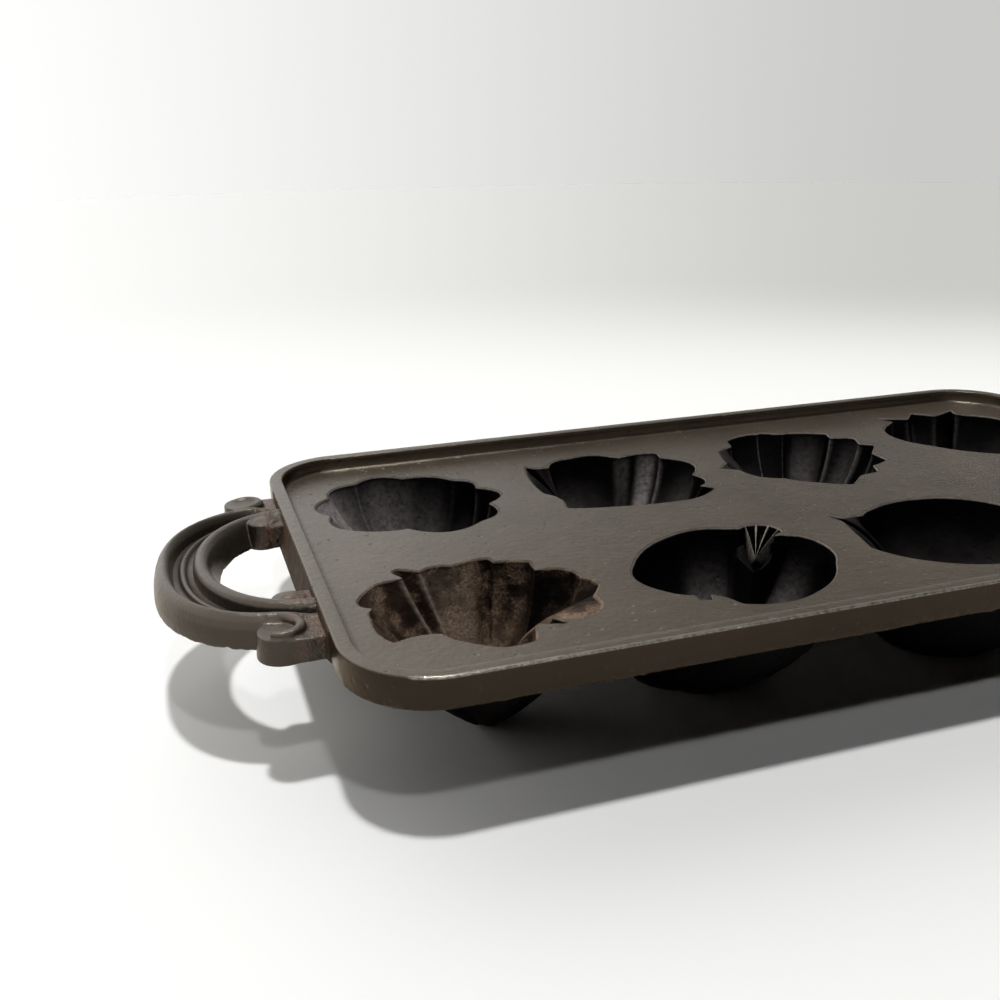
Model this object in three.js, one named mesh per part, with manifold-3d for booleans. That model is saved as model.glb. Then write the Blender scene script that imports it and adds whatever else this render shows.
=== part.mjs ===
// Cast iron fruit mould pan: a rimmed plate with rows of fruit-shaped cups and a scroll handle at each end.
// Millimetres, +Z up, +X along the plate, origin under the centre of the plate where the cups stand.
import * as THREE from 'three';
import { mergeVertices } from 'three/addons/utils/BufferGeometryUtils.js';
import Module from 'manifold-3d';

const wasm = await Module();
wasm.setup();

// Cups
const cupMouth = 66; // nominal width of a fruit-shaped mouth
const cupBridge = 11; // deck between neighbouring mouths along the plate
const rowBridge = 19.5; // deck between the two rows of mouths
const cupHeight = 34; // from the foot of a cup to the underside of the deck
const cupWall = 4;
const cupFloor = 4;
const roundFloorShare = 0.34; // how far the hollow of a round fruit has drawn in at its floor
const roundFullness = 1.7; // 1 draws a straight wall, 2 an ellipse
const taperFloorShare = 0.16; // the same of the bunch, which runs down to a small foot
const taperFullness = 1.15;
const cupSteps = 4; // rings down the wall
const curveSteps = 4; // chords along each swollen stretch of an outline and each corner of the plate
const shellSides = 36;
const shellSamples = 120; // points on a mouth that its shell is measured from
const cellClearance = 0.3; // between the shells of neighbouring cups

// Plate
const endMargin = 12.5; // from the last mouth to the end of the plate
const sideMargin = 14.25; // from a row of mouths to the long side of the plate
const cornerRadius = 25;
const deckThickness = 4;
const rimHeight = 5;
const rimWidth = 4.5;

// Handles
const handleHeight = 9.5;
const rootThickness = 2.5;
const rootOverhang = 4.5; // root beyond each side of the outer strap
const rootHeight = 7;
const bowReach = 41.5; // from the end of the plate to the far side of the outer strap
const bowHalfSpan = 45.5;
const bowWidth = 5;
const grooveWidth = 5.5; // between the straps at the far side of the handle
const grooveEndWidth = 1.3; // between the straps at the root
const rollWidth = 4.8;
const strapRounding = 1.6; // round on the long edges of both straps
const strapRoundSteps = 1;
const scrollRadius = 6.2;
const scrollRise = 2.7; // scroll centre beyond the side of the outer strap
const scrollStandoff = 1.3; // between a scroll and the root
const scrollLip = 2.6; // raised roll round the dished top of a scroll
const scrollDish = 1.4;
const bossRadius = 4.8;
const bossRise = 2.9; // boss centre inside the inner strap
const webDrop = 2.8; // from the top of the straps down to the web in their groove
const webStart = 16; // from the end of the plate to where the web begins
const seatClearance = 0.3; // beside the curved faces that lie against each other
const arcSteps = 14;
const roundSides = 14;

const columnPitch = cupMouth + cupBridge;
const rowPitch = cupMouth + rowBridge;
const columnCount = 4;
const plateLength = columnCount * cupMouth + (columnCount - 1) * cupBridge + 2 * endMargin;
const plateWidth = 2 * cupMouth + rowBridge + 2 * sideMargin;
const plateEnd = plateLength / 2;
const deckTop = cupHeight + deckThickness;
const rimTop = deckTop + rimHeight;
const handleBottom = rimTop - handleHeight;
const rollReach = bowReach - bowWidth - grooveWidth;
const rollHalfSpan = bowHalfSpan - bowWidth - grooveEndWidth;

// Mouth outlines, seen from above, anticlockwise. Each point holds x, y and how far the stretch to the
// next point swells out, in millimetres at the drawn mouth width.
const melonOutline = [
  [25.1, -10, 6.5], [26.3, 8, 3.8], [19.4, 18.5, 5], [2.3, 26, 6.3], [-16, 25.4, 5.5], [-25.7, 14.3, 6],
  [-28.9, -4.7, 1.2], [-30, -16.8, 1.2], [-17.5, -23.8, 0.6], [-6.9, -24.4, 8], [17.1, -24.4, 4.5],
];
const berryOutline = [
  [28.3, -5.2, 6.5], [26.3, 14.5, 0], [26.3, 21.6, 2.6], [9.1, 18.2, 4.2], [-6.5, 26.8, 4.4],
  [-20.3, 18.2, 0], [-23.4, 18.2, 0], [-26.9, 22.8, 4], [-27.7, -14.4, 0], [-29.7, -25.2, 0],
  [-17.7, -25.5, 8.5], [23.4, -25.2, 0], [25.7, -21.8, 0], [24.6, -18.4, 2.8],
];
const pineappleOutline = [
  [34, 2.9, 0], [30.4, 4.5, 0.5], [31, 10.3, 0], [24, 13.7, 0.5], [25.7, 21.7, 0], [8, 24.8, 0],
  [4, 28, 0.5], [0, 32.3, 0.8], [-11, 26.3, 0.5], [-17, 25.8, 0], [-20.3, 16.3, 0], [-27, 15.3, 0.6],
  [-32.6, -1.7, 0], [-37, -6.7, 0], [-30, -9.8, 1], [-22, -22.4, 0.8], [-9.7, -32.7, 0], [-3.4, -38.4, 0],
  [8, -29.2, 0], [20, -27, 0], [22, -20, 0], [29, -17, 0], [29, -8, 0],
];
const strawberryOutline = [
  [0, -32, 3], [24, -10, 4], [27, 14, 1], [16, 23, 0], [19, 30, 0], [7, 25, 0], [0, 32, 0],
  [-7, 25, 0], [-19, 30, 0], [-16, 23, 1], [-27, 14, 4], [-24, -10, 3],
];
const bunchOutline = [
  [28, -5.1, 4.3], [29.7, 5.6, 3.7], [18.9, 13.6, 0], [19.4, 23.3, 0], [9.7, 23.1, 0], [9.7, 28, 0.7],
  [-2.6, 25.2, 2], [-12.9, 24.8, 0], [-18, 28.8, 0], [-20.3, 27.6, 0], [-18.3, 22.2, 0],
  [-20.3, 20.5, 0], [-26, 20.5, 0], [-26.3, 17.6, 1.4], [-33.4, 10.2, 0.8], [-30.9, 4.2, 2.4],
  [-30.3, -15.5, 0], [-29, -16.7, -1.5], [-16.6, -15.2, 0], [-14.3, -20.4, 0], [-5.7, -28.4, 0.6],
  [4.3, -28.4, 0], [6.9, -21.2, 0], [9.1, -18.4, 0], [16.3, -19.5, 0], [14.3, -13.2, 0.5],
];
const appleOutline = [
  [-12.3, -26.7, 3], [10.3, -26.8, 2], [26.9, -11.5, 2.2], [31.4, 5.7, 2.7], [20.6, 13.2, 0],
  [6.3, -0.6, 0], [14.3, 21.7, 3.5], [-9, 24.6, 2.2], [-28.6, 8, 4], [-28.6, -12, 0],
  [-22.3, -16.5, 0], [-20.3, -20.6, 0], [-18, -19.7, 0], [-14.5, -21.5, 0],
];
const plumOutline = [
  [-33, -5.7, 1.5], [-22, -21, 2], [0, -29, 2], [20, -22, 2.5], [31, -3, 2.5], [26, 17, 2],
  [8, 26, 1.5], [-11.6, 23.2, 0.5], [-18.6, 19.2, 0], [-26.3, 19.2, 0], [-29.9, 24, 0],
  [-27.8, 16.5, 0], [-31, 3, 0],
];
const pearOutline = [
  [-24, -22, 4], [2, -28, 3.5], [17, -8, -1.5], [27, 12, 2], [24, 22, 0], [28, 27, 0], [25, 30, 0],
  [20, 25, 2], [9, 26, -1.5], [-9, 17, 3.5], [-29, 3, 5],
];

const drawnMouth = 2 * Math.max(...plumOutline.map(([x]) => Math.abs(x)));

const round = { floorShare: roundFloorShare, fullness: roundFullness };
const taper = { floorShare: taperFloorShare, fullness: taperFullness };

// Cups in their places: column from the left, row from the front.
const cups = [
  { name: 'cup_melon', outline: melonOutline, form: round, column: 0, row: 1, colour: 0x4a4542 },
  { name: 'cup_berry', outline: berryOutline, form: round, column: 1, row: 1, colour: 0x454140 },
  { name: 'cup_pineapple', outline: pineappleOutline, form: round, column: 2, row: 1, colour: 0x3f3b39 },
  { name: 'cup_strawberry', outline: strawberryOutline, form: round, column: 3, row: 1, colour: 0x3f3b39 },
  { name: 'cup_grape_bunch', outline: bunchOutline, form: taper, column: 0, row: 0, colour: 0x5a4a3d },
  { name: 'cup_apple', outline: appleOutline, form: round, column: 1, row: 0, colour: 0x35312f },
  { name: 'cup_plum', outline: plumOutline, form: round, column: 2, row: 0, colour: 0x35312f },
  { name: 'cup_pear', outline: pearOutline, form: round, column: 3, row: 0, colour: 0x35312f },
];

function iron(colour) {
  return new THREE.MeshStandardMaterial({ color: colour, roughness: 0.72, metalness: 0.55 });
}

function part(name, geometry, colour) {
  const mesh = new THREE.Mesh(geometry, iron(colour));
  mesh.name = name;
  return mesh;
}

function solidOf(geometry) {
  const bare = geometry.clone();
  bare.deleteAttribute('normal');
  bare.deleteAttribute('uv');
  const merged = mergeVertices(bare);
  const corners = merged.index.array;
  const triangles = [];
  for (let first = 0; first < corners.length; first += 3) {
    const [a, b, c] = corners.slice(first, first + 3);
    if (a !== b && b !== c && c !== a) {
      triangles.push(a, b, c);
    }
  }
  const vertProperties = new Float32Array(merged.attributes.position.array);
  const triVerts = new Uint32Array(triangles);
  return new wasm.Manifold(new wasm.Mesh({ numProp: 3, vertProperties, triVerts }));
}

function geometryOf(solid) {
  const { vertProperties, triVerts } = solid.getMesh();
  const geometry = new THREE.BufferGeometry();
  geometry.setAttribute('position', new THREE.BufferAttribute(new Float32Array(vertProperties), 3));
  geometry.setIndex(new THREE.BufferAttribute(new Uint32Array(triVerts), 1));
  geometry.computeVertexNormals();
  return geometry;
}

function swollenPath(path, outline, centreX, centreY) {
  const scale = cupMouth / drawnMouth;
  const place = ([x, y]) => new THREE.Vector2(centreX + scale * x, centreY + scale * y);
  path.moveTo(...place(outline[0]));
  outline.forEach((point, index) => {
    const from = place(point);
    const to = place(outline[(index + 1) % outline.length]);
    const along = to.clone().sub(from);
    const outward = new THREE.Vector2(along.y, -along.x).normalize();
    const control = from.clone().add(to).multiplyScalar(0.5).addScaledVector(outward, 2 * scale * point[2]);
    if (point[2] === 0) {
      path.lineTo(to.x, to.y);
    } else {
      path.quadraticCurveTo(control.x, control.y, to.x, to.y);
    }
  });
  return path;
}

// Outline a wall's width outside a mouth, as the farthest reach in each direction.
function shellShape(mouth) {
  const edge = mouth.getSpacedPoints(shellSamples);
  const corners = [];
  for (let side = 0; side < shellSides; side += 1) {
    const angle = (2 * Math.PI * side) / shellSides;
    const direction = new THREE.Vector2(Math.cos(angle), Math.sin(angle));
    const reaches = edge.map((point) => {
      const across = Math.abs(point.cross(direction));
      return across < cupWall ? point.dot(direction) + Math.sqrt(cupWall ** 2 - across ** 2) : 0;
    });
    corners.push(direction.multiplyScalar(Math.max(...reaches)));
  }
  return new THREE.Shape(corners);
}

// A bowl that hangs from topZ, straight for lead above it and drawn in to floorShare at floorZ.
function bowl(shape, { floorShare, fullness }, topZ, lead, floorZ) {
  const steps = cupSteps + (lead > 0 ? 1 : 0);
  const options = { depth: steps, steps, curveSegments: curveSteps, bevelEnabled: false };
  const geometry = new THREE.ExtrudeGeometry(shape, options);
  const position = geometry.attributes.position;
  for (let index = 0; index < position.count; index += 1) {
    const step = Math.round(position.getZ(index));
    const turn = (Math.PI / 2) * Math.max(0, 1 - step / cupSteps);
    const inward = Math.abs(Math.cos(turn)) ** (2 / fullness);
    const down = Math.sin(turn) ** (2 / fullness);
    const share = step === 0 ? floorShare : floorShare + (1 - floorShare) * inward;
    const depth = step > cupSteps ? -lead : (topZ - floorZ) * down;
    position.setXYZ(index, position.getX(index) * share, position.getY(index) * share, topZ - depth);
  }
  return solidOf(geometry);
}

function cup({ name, outline, form, column, row, colour }) {
  const mouth = swollenPath(new THREE.Shape(), outline, 0, 0);
  const cell = new THREE.BoxGeometry(columnPitch - cellClearance, rowPitch - cellClearance, 2 * cupHeight);
  const footShare = (form.floorShare * cupMouth + 2 * cupWall) / (cupMouth + 2 * cupWall);
  const outside = { ...form, floorShare: footShare };
  const shell = bowl(shellShape(mouth), outside, cupHeight, 0, 0).intersect(solidOf(cell));
  const hollow = bowl(mouth, form, cupHeight, cupWall, cupFloor);
  const mesh = part(name, geometryOf(shell.subtract(hollow)), colour);
  mesh.position.set((column - (columnCount - 1) / 2) * columnPitch, (row - 0.5) * rowPitch, 0);
  return mesh;
}

function roundedRectangle(path, length, width, radius) {
  const x = length / 2 - radius;
  const y = width / 2 - radius;
  path.absarc(x, y, radius, 0, Math.PI / 2);
  path.absarc(-x, y, radius, Math.PI / 2, Math.PI);
  path.absarc(-x, -y, radius, Math.PI, 1.5 * Math.PI);
  path.absarc(x, -y, radius, 1.5 * Math.PI, 2 * Math.PI);
  path.closePath();
  return path;
}

function deckPlate() {
  const shape = roundedRectangle(new THREE.Shape(), plateLength, plateWidth, cornerRadius);
  cups.forEach(({ outline, column, row }) => {
    const x = (column - (columnCount - 1) / 2) * columnPitch;
    const y = (row - 0.5) * rowPitch;
    shape.holes.push(swollenPath(new THREE.Path(), outline, x, y));
  });
  const options = { depth: deckThickness, curveSegments: curveSteps, bevelEnabled: false };
  const geometry = new THREE.ExtrudeGeometry(shape, options);
  const mesh = part('deck_plate', geometry, 0x78726a);
  mesh.position.z = cupHeight;
  return mesh;
}

function rim() {
  const shape = roundedRectangle(new THREE.Shape(), plateLength, plateWidth, cornerRadius);
  const inside = [plateLength - 2 * rimWidth, plateWidth - 2 * rimWidth, cornerRadius - rimWidth];
  shape.holes.push(roundedRectangle(new THREE.Path(), ...inside));
  const options = { depth: rimHeight, curveSegments: curveSteps, bevelEnabled: false };
  const geometry = new THREE.ExtrudeGeometry(shape, options);
  const mesh = part('rim', geometry, 0x827b72);
  mesh.position.z = deckTop;
  return mesh;
}

// Half-elliptical strap that starts and ends on the plane x = start.
function strapShape(start, reach, halfSpan, innerReach, innerHalfSpan) {
  const shape = new THREE.Shape();
  const outerTurn = Math.acos(start / reach);
  const innerTurn = Math.acos(start / innerReach);
  shape.absellipse(0, 0, reach, halfSpan, -outerTurn, outerTurn, false);
  shape.absellipse(0, 0, innerReach, innerHalfSpan, innerTurn, -innerTurn, true);
  shape.closePath();
  return shape;
}

function roundedStrap(start, reach, halfSpan, width) {
  const shape = strapShape(start, reach, halfSpan, reach - width, halfSpan - width);
  const geometry = new THREE.ExtrudeGeometry(shape, {
    depth: handleHeight - 2 * strapRounding,
    curveSegments: arcSteps,
    bevelThickness: strapRounding,
    bevelSize: strapRounding,
    bevelOffset: -strapRounding,
    bevelSegments: strapRoundSteps,
  });
  return solidOf(geometry.translate(0, 0, strapRounding));
}

function turned(profile, x, y) {
  const points = profile.map(([radius, height]) => new THREE.Vector2(radius, height));
  const geometry = new THREE.LatheGeometry(points, roundSides);
  return solidOf(geometry.rotateX(Math.PI / 2).translate(x, y, 0));
}

// Straight blocks that fill each strap end out to the flat of the root.
function strapEnds(outerY, innerY) {
  const length = 2 * strapRounding;
  const height = rootHeight - strapRounding;
  const base = handleHeight - rimHeight - deckThickness;
  return [1, -1].map((side) => {
    const box = new THREE.BoxGeometry(length, outerY - innerY, height);
    const middle = (side * (outerY + innerY)) / 2;
    return solidOf(box.translate(rootThickness + length / 2, middle, base + strapRounding / 2 + height / 2));
  });
}

function bow() {
  const inset = strapRounding / 2;
  let solid = roundedStrap(rootThickness, bowReach, bowHalfSpan, bowWidth);
  strapEnds(bowHalfSpan - inset, bowHalfSpan - bowWidth + inset).forEach((end) => {
    solid = solid.add(end);
  });
  const dish = scrollRadius - scrollLip;
  const profile = [
    [0, 0], [scrollRadius - strapRounding, 0], [scrollRadius, strapRounding],
    [scrollRadius, handleHeight - strapRounding], [scrollRadius - strapRounding / 2, handleHeight],
    [dish, handleHeight], [dish, handleHeight - scrollDish], [0, handleHeight - scrollDish],
  ];
  const x = rootThickness + scrollStandoff + scrollRadius;
  [1, -1].forEach((side) => {
    solid = solid.add(turned(profile, x, side * (bowHalfSpan + scrollRise)));
  });
  return solid;
}

function roll() {
  const inset = strapRounding / 2;
  let solid = roundedStrap(rootThickness, rollReach, rollHalfSpan, rollWidth);
  strapEnds(rollHalfSpan - inset, rollHalfSpan - rollWidth + inset).forEach((end) => {
    solid = solid.add(end);
  });
  const profile = [
    [0, 0], [bossRadius - strapRounding / 2, 0], [bossRadius, strapRounding],
    [bossRadius, handleHeight - 2 * strapRounding],
    [bossRadius - strapRounding, handleHeight - strapRounding / 2], [0, handleHeight],
  ];
  const x = rootThickness + seatClearance + bossRadius;
  [1, -1].forEach((side) => {
    solid = solid.add(turned(profile, x, side * (rollHalfSpan - rollWidth - bossRise)));
  });
  return solid;
}

function web() {
  const outside = [bowReach - bowWidth - seatClearance, bowHalfSpan - bowWidth - seatClearance];
  const inside = [rollReach + seatClearance, rollHalfSpan + seatClearance];
  const shape = strapShape(webStart, ...outside, ...inside);
  const depth = handleHeight - webDrop;
  return new THREE.ExtrudeGeometry(shape, { depth, curveSegments: arcSteps, bevelEnabled: false });
}

function root() {
  const span = 2 * (bowHalfSpan + rootOverhang);
  const box = new THREE.BoxGeometry(rootThickness, span, rootHeight);
  return box.translate(rootThickness / 2, 0, handleHeight - rimHeight - deckThickness + rootHeight / 2);
}

function handle(side, turn) {
  const group = new THREE.Group();
  const place = (geometry) => geometry.rotateZ(turn).translate(plateEnd * Math.cos(turn), 0, 0);
  group.add(part(`handle_${side}_root`, place(root()), 0x5c554e));
  group.add(part(`handle_${side}_bow`, place(geometryOf(bow())), 0x5f5852));
  group.add(part(`handle_${side}_roll`, place(geometryOf(roll())), 0x69635b));
  group.add(part(`handle_${side}_web`, place(web()), 0x4f4943));
  group.position.z = handleBottom;
  return group;
}

const pan = new THREE.Group();
pan.add(deckPlate(), rim());
cups.forEach((each) => pan.add(cup(each)));
pan.add(handle('left', Math.PI), handle('right', 0));

export default pan;
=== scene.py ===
import math
import bmesh
import bpy
from mathutils import Matrix, Vector, noise


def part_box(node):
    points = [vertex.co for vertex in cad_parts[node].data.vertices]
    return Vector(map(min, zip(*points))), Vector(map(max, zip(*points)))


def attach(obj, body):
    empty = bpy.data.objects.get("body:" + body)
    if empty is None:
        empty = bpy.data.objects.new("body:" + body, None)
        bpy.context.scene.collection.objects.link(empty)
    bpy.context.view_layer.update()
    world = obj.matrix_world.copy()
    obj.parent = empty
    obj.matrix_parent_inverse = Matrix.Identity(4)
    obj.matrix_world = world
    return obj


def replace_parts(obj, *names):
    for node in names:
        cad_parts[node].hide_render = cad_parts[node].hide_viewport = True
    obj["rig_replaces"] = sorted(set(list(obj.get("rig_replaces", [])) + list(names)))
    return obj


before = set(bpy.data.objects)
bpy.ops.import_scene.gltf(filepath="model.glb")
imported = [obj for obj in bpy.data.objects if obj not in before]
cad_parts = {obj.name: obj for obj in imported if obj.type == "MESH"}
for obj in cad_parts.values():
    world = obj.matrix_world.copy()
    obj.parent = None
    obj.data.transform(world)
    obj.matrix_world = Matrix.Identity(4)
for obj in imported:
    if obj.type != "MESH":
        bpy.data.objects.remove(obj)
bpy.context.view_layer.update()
mm = 0.001

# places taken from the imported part
deckLow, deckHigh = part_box("deck_plate")
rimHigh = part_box("rim")[1]
endX, sideY = deckHigh.x, deckHigh.y      # half length and half width of the plate
underZ, deckZ, rimZ = deckLow.z, deckHigh.z, rimHigh.z
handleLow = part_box("handle_left_bow")[0]
print("frame loaded, plate", round(2 * endX, 4), "by", round(2 * sideY, 4))


# helpers that every piece uses
def deselectAll():
    if bpy.context.object and bpy.context.object.mode != "OBJECT":
        bpy.ops.object.mode_set(mode="OBJECT")
    bpy.ops.object.select_all(action="DESELECT")


def pick(piece):
    deselectAll()
    piece.select_set(True)
    bpy.context.view_layer.objects.active = piece


def extrudeRings(name, rings, loopBack=False, wearAndLightMarks=None):
    # a circle is laid on the first ring, then extruded ring by ring; the marks set the wear, painted light
    # and painted shade of each point
    deselectAll()
    bpy.ops.mesh.primitive_circle_add(vertices=len(rings[0]), radius=0.03)
    piece = bpy.context.object
    piece.name = name
    piece.data.attributes.new("wearAndPaintedLight", "FLOAT", "POINT")
    piece.data.attributes.new("around", "INT", "POINT")
    around, wearAndPaintedLight = piece.data.attributes["around"], piece.data.attributes["wearAndPaintedLight"]
    for place, point in enumerate(rings[0]):
        piece.data.vertices[place].co = point
        around.data[place].value = place
        wearAndPaintedLight.data[place].value = wearAndLightMarks[0][place] if wearAndLightMarks else 0.0
    bpy.ops.object.mode_set(mode="EDIT")
    bpy.ops.mesh.select_all(action="SELECT")
    for step, ring in enumerate(rings[1:], 1):
        bpy.ops.mesh.extrude_region_move()
        shape = bmesh.from_edit_mesh(piece.data)
        place, wearAndPaintedLight = shape.verts.layers.int["around"], shape.verts.layers.float["wearAndPaintedLight"]
        for vertex in shape.verts:
            if vertex.select:
                vertex.co = ring[vertex[place]]
                vertex[wearAndPaintedLight] = wearAndLightMarks[step][vertex[place]] if wearAndLightMarks else 0.0
        bmesh.update_edit_mesh(piece.data)
    bpy.ops.mesh.select_all(action="SELECT")
    if loopBack:
        bpy.ops.mesh.remove_doubles(threshold=1e-6)   # last ring lies on the first
    else:
        bpy.ops.mesh.fill_holes(sides=0)
    bpy.ops.mesh.select_all(action="SELECT")
    bpy.ops.mesh.normals_make_consistent(inside=False)
    bpy.ops.object.mode_set(mode="OBJECT")
    piece.data.attributes.remove(piece.data.attributes["around"])
    return piece


def joinInto(piece, *others):
    deselectAll()
    for other in others:
        other.select_set(True)
    piece.select_set(True)
    bpy.context.view_layer.objects.active = piece
    bpy.ops.object.join()
    return piece


def smoothByAngle(piece, degrees):
    pick(piece)
    bpy.ops.object.shade_smooth_by_angle(angle=math.radians(degrees))


def castSoft(piece, grain, rounds):
    # one skin over joined lumps, with the soft corners of a sand casting
    pick(piece)
    skin = piece.modifiers.new("skin", "REMESH")
    skin.mode = "VOXEL"
    skin.voxel_size = grain
    skin.use_smooth_shade = True
    bpy.ops.object.modifier_apply(modifier="skin")
    soft = piece.modifiers.new("soft", "SMOOTH")
    soft.factor = 0.5
    soft.iterations = rounds
    bpy.ops.object.modifier_apply(modifier="soft")
    bpy.ops.object.shade_smooth()


def dress(piece, material, slot, *nodes):
    piece.data.materials.clear()
    piece.data.materials.append(material)
    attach(piece, "root")
    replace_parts(piece, *nodes)


def drawnLoop(outline, spacing):
    # points along a drawn outline of [x, y, swell] stretches
    loop = []
    for place, (x, y, swell) in enumerate(outline):
        start = Vector((x, y))
        end = Vector(outline[(place + 1) % len(outline)][:2])
        along = end - start
        pull = (start + end) / 2 + 2 * swell * Vector((along.y, -along.x)).normalized()
        steps = max(2, round((along.length + 1.5 * abs(swell)) / spacing))
        for step in range(steps):
            t = step / steps
            loop.append((1 - t) ** 2 * start + 2 * t * (1 - t) * pull + t * t * end)
    return loop


def eased(loop, rounds):
    # each round draws every point towards its two neighbours
    count = len(loop)
    for _ in range(rounds):
        loop = [(loop[i - 1] + 2 * loop[i] + loop[(i + 1) % count]) / 4 for i in range(count)]
    return loop


def outwards(loop):
    count = len(loop)
    ways = []
    for i in range(count):
        along = loop[(i + 1) % count] - loop[i - 1]
        ways.append(Vector((along.y, -along.x)).normalized())
    return ways


def roomBehind(loop, ways, reach):
    # how far each point can go outwards before it meets another stretch of the loop
    count = len(loop)
    rooms = []
    for i in range(count):
        room = reach
        for j in range(count):
            gap = min((i - j) % count, (j - i) % count)
            if gap < 2:
                continue
            toOther = loop[j] - loop[i]
            ahead = toOther.dot(ways[i])
            across = abs(toOther.cross(ways[i]))
            if 0 < ahead < room and across < 1.0:
                room = ahead
        rooms.append(room)
    return rooms


# iron, as each part of the casting has aged, with painted shade on upright faces and painted light and shade
# where marked; pairs are the values that a mark fades in between
casting = dict(
    lipMottled=(0.35, 0.65), speckFrom=(0.56, 0.72), pitEdge=(0.05, 0.12), pitSlope=(0.04, 0.16),
    pitGroups=60, pitFrom=(0.48, 0.56), rustSpan=0.12, rustFacing=(-0.15, 0.1), dampScale=140,
    dampFrom=(0.42, 0.58), crumbFrom=(0.42, 0.62), crumbLeast=0.25, cornerSpan=0.08, wornFrom=(0.35, 0.6),
    roughScale=180, roughFrom=(0.3, 0.7), rubbedRough=0.7, waveScale=90, lumpScale=520, grainScale=1700,
    rootScale=800, rootLumps=0.0006,
)


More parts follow.
